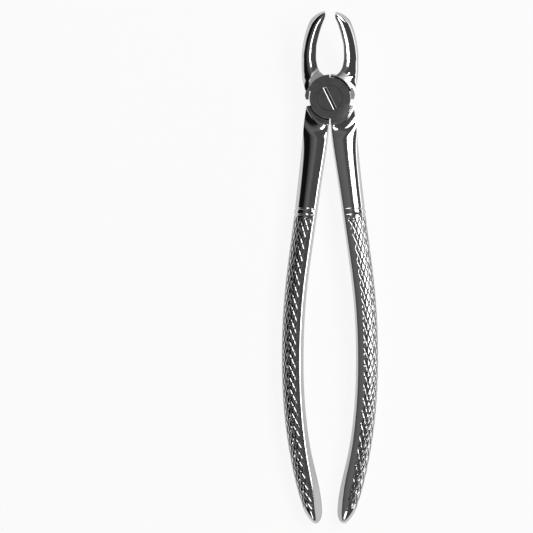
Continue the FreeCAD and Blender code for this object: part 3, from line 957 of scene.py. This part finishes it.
def makeScrew(name):
    points, faces, marks = [], [], []
    count = 96
    ring = np.linspace(0, 2 * math.pi, count, endpoint=False)
    half, edge, reach = screw["slotWidth"] / 2, screw["edge"], screw["head"]

    def slotLoop(width, radius):
        # the slot outline has a point for each point of the rim
        loop = []
        for a in ring:
            x, y = radius * math.cos(a), radius * math.sin(a)
            loop.append((math.copysign(width, x) if abs(x) > 1e-9 else width, y))
        return np.array(loop)

    inside = screw["slotReach"]
    top = thickness - 0.005
    profile = [(screw["thread"] - 0.15, 0.02), (screw["thread"], 0.17), (screw["thread"], 5.0),
               (screw["shank"], 5.0), (screw["shank"], thickness - screw["headDepth"]),
               (reach, thickness - 0.05), (reach - 0.05, top)]
    loops = [np.column_stack([r * np.cos(ring), r * np.sin(ring), np.full(count, z)]) for r, z in profile]
    steep = screw["steepEdge"]
    loops.append(level(slotLoop(half + edge, inside), top))
    loops.append(level(slotLoop(half + steep, inside - edge + steep), top - 0.33 * (edge - steep)))
    loops.append(level(slotLoop(half, inside - edge), top - 0.33 * (edge - steep) - 0.88 * steep))
    loops.append(level(slotLoop(half - 0.02, inside - edge - 0.1), thickness - screw["slotDepth"]))
    kinds = [1, 1, 1, 1, 1, 0, 0, 1, 1, 0]
    base, n = stackLoops(points, faces, marks, loops, kinds)
    faces.append(tuple(range(n - 1, -1, -1)))
    marks.append(0)
    faces.append(tuple(base + (len(loops) - 1) * n + i for i in range(n)))
    marks.append(0)
    points = np.array(points)
    c, s = math.cos(screw["slotLean"]), math.sin(screw["slotLean"])
    turned = points.copy()
    turned[:, 0] = points[:, 0] * c - points[:, 1] * s
    turned[:, 1] = points[:, 0] * s + points[:, 1] * c
    obj = meshObject(name, turned, faces, [groundSteel, polished])
    obj.data.polygons.foreach_set("material_index", marks)
    setPointValue(obj, "facet", np.zeros(len(points)))
    work = bmesh.new()
    work.from_mesh(obj.data)
    bmesh.ops.remove_doubles(work, verts=work.verts, dist=1e-8)
    bmesh.ops.dissolve_degenerate(work, edges=work.edges, dist=1e-8)
    work.to_mesh(obj.data)
    work.free()
    finishMesh(obj, 12)
    return obj


pivotScrew = makeScrew("slottedScrew")
print("screw made")


# each piece on its own arm

for obj in (frontHandle, leftBeak, frontJoint):
    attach(obj, "front_half")
for obj in (rearHandle, rightBeak, rearJoint, pivotScrew):
    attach(obj, "rear_half")
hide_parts("front_half")
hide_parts("rear_half")
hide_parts("pivot_screw")
print("pieces placed")


# floor, light, camera

studio = {
    "paper": (0.90, 0.90, 0.90),
    "paperGlow": 0.90,        # share of the paper that shows its plain white, the rest takes the shadow
    "ceiling": [(-0.55, 0.008), (-0.42, 0.08), (-0.20, 0.15), (-0.03, 0.19), (0.05, 0.10), (0.26, 0.08)],
    "skirtRight": 0.95,       # pale screens round the table
    "skirtLeft": 0.85,
    "skirtTop": 0.20,         # their height, as the sine of the angle
    "skirtBlend": 0.06,
    "paperReach": 4.0,
    "paperBelow": 0.0004,
    "cameraHeight": 2.07,
    "middle": (-0.0221, -0.0586),
    "lens": 400.0,
}


def makePaper():
    material, nodes, links, shader = newFinish("paper")
    shader.inputs["Base Color"].default_value = (*studio["paper"], 1)
    shader.inputs["Roughness"].default_value = 0.95
    shader.inputs["Specular IOR Level"].default_value = 0.0
    glow = nodes.new("ShaderNodeEmission")
    glow.inputs["Strength"].default_value = 1.0
    rays = nodes.new("ShaderNodeLightPath")
    calc = mathNodes(nodes, links)
    seen = rays.outputs["Is Camera Ray"]
    for other in ("Is Glossy Ray", "Is Transmission Ray"):
        seen = calc("MAXIMUM", seen, rays.outputs[other])
    mix = nodes.new("ShaderNodeMixShader")
    links.new(calc("MULTIPLY", seen, studio["paperGlow"]), mix.inputs["Fac"])
    links.new(shader.outputs["BSDF"], mix.inputs[1])
    links.new(glow.outputs["Emission"], mix.inputs[2])
    output = [n for n in nodes if n.type == "OUTPUT_MATERIAL"][0]
    links.new(mix.outputs["Shader"], output.inputs["Surface"])
    return material


def makeTable(name):
    far, low = studio["paperReach"], -studio["paperBelow"]
    corners = [(-far, -far, low), (far, -far, low), (far, far, low), (-far, far, low)]
    mesh = bpy.data.meshes.new(name)
    mesh.from_pydata(corners, [], [(0, 1, 2, 3)])
    mesh.materials.append(makePaper())
    obj = bpy.data.objects.new(name, mesh)
    bpy.context.scene.collection.objects.link(obj)
    return obj


tablePaper = makeTable("tablePaper")
tablePaper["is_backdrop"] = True

# softboxes: place, target, width, height, radiance
boxes = {
    "rightBox": ((0.64, 0.42, 1.02), (0, 0.42, 0), 1.3, 0.56, 5.0),
    "lowBox": ((-0.06, -0.86, 0.90), (0, 0.0, 0), 0.13, 0.82, 6.0),
    "rimBox": ((1.25, -0.06, 0.24), (0, -0.06, 0.06), 1.2, 0.22, 1.6),
}


def addSoftbox(name, place, target, width, height, radiance):
    light = bpy.data.lights.new(name, "AREA")
    light.shape = "RECTANGLE"
    light.size = width
    light.size_y = height
    light.energy = radiance * math.pi * width * height
    obj = bpy.data.objects.new(name, light)
    bpy.context.scene.collection.objects.link(obj)
    obj.location = place
    obj.rotation_euler = (Vector(target) - Vector(place)).to_track_quat("-Z", "Y").to_euler()
    obj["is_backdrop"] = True


for name, values in boxes.items():
    addSoftbox(name, *values)


def makeAir():
    # dark above, pale screens low all round, brighter to the right
    world = bpy.data.worlds.new("studioAir")
    world.use_nodes = True
    nodes, links = world.node_tree.nodes, world.node_tree.links
    nodes.clear()
    output = nodes.new("ShaderNodeOutputWorld")
    air = nodes.new("ShaderNodeBackground")
    links.new(air.outputs["Background"], output.inputs["Surface"])
    split = nodes.new("ShaderNodeSeparateXYZ")
    links.new(nodes.new("ShaderNodeTexCoord").outputs["Generated"], split.inputs["Vector"])
    sideways = addRange(nodes, links, split.outputs["X"], -0.7, 0.7, studio["skirtLeft"],
                        studio["skirtRight"])
    tint = nodes.new("ShaderNodeCombineColor")
    for channel in ("Red", "Green", "Blue"):
        links.new(sideways, tint.inputs[channel])
    ceiling = nodes.new("ShaderNodeValToRGB")
    tones = studio["ceiling"]
    while len(ceiling.color_ramp.elements) < len(tones):
        ceiling.color_ramp.elements.new(0.5)
    for element, (place, tone) in zip(ceiling.color_ramp.elements, tones):
        element.position = (place + 1) / 2
    for element, (place, tone) in zip(ceiling.color_ramp.elements, tones):
        element.color = (tone, tone, tone, 1)
    links.new(addRange(nodes, links, split.outputs["X"], -1, 1, 0, 1), ceiling.inputs["Fac"])
    top, blend = studio["skirtTop"], studio["skirtBlend"]
    above = addRange(nodes, links, split.outputs["Z"], top - blend, top + blend, 0, 1)
    tone = addBlend(nodes, links, above, tint.outputs["Color"], ceiling.outputs["Color"])
    links.new(tone, air.inputs["Color"])
    air.inputs["Strength"].default_value = 1.0
    return world


bpy.context.scene.world = makeAir()



def makeCamera():
    # straight down on the table
    data = bpy.data.cameras.new("camera")
    data.lens = studio["lens"]
    data.sensor_width = 36.0
    data.clip_end = 20.0
    camera = bpy.data.objects.new("camera", data)
    bpy.context.scene.collection.objects.link(camera)
    camera.location = (*studio["middle"], studio["cameraHeight"])
    return camera


bpy.context.scene.camera = makeCamera()
bpy.context.scene.view_settings.view_transform = "Standard"
print("studio set")

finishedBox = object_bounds()
plain = [[list(map(float, corner)) for corner in box] for box in (cadBox, finishedBox)]
print("bounds in mm", [[round(v * 1000, 2) for v in corner] for box in plain for corner in box])
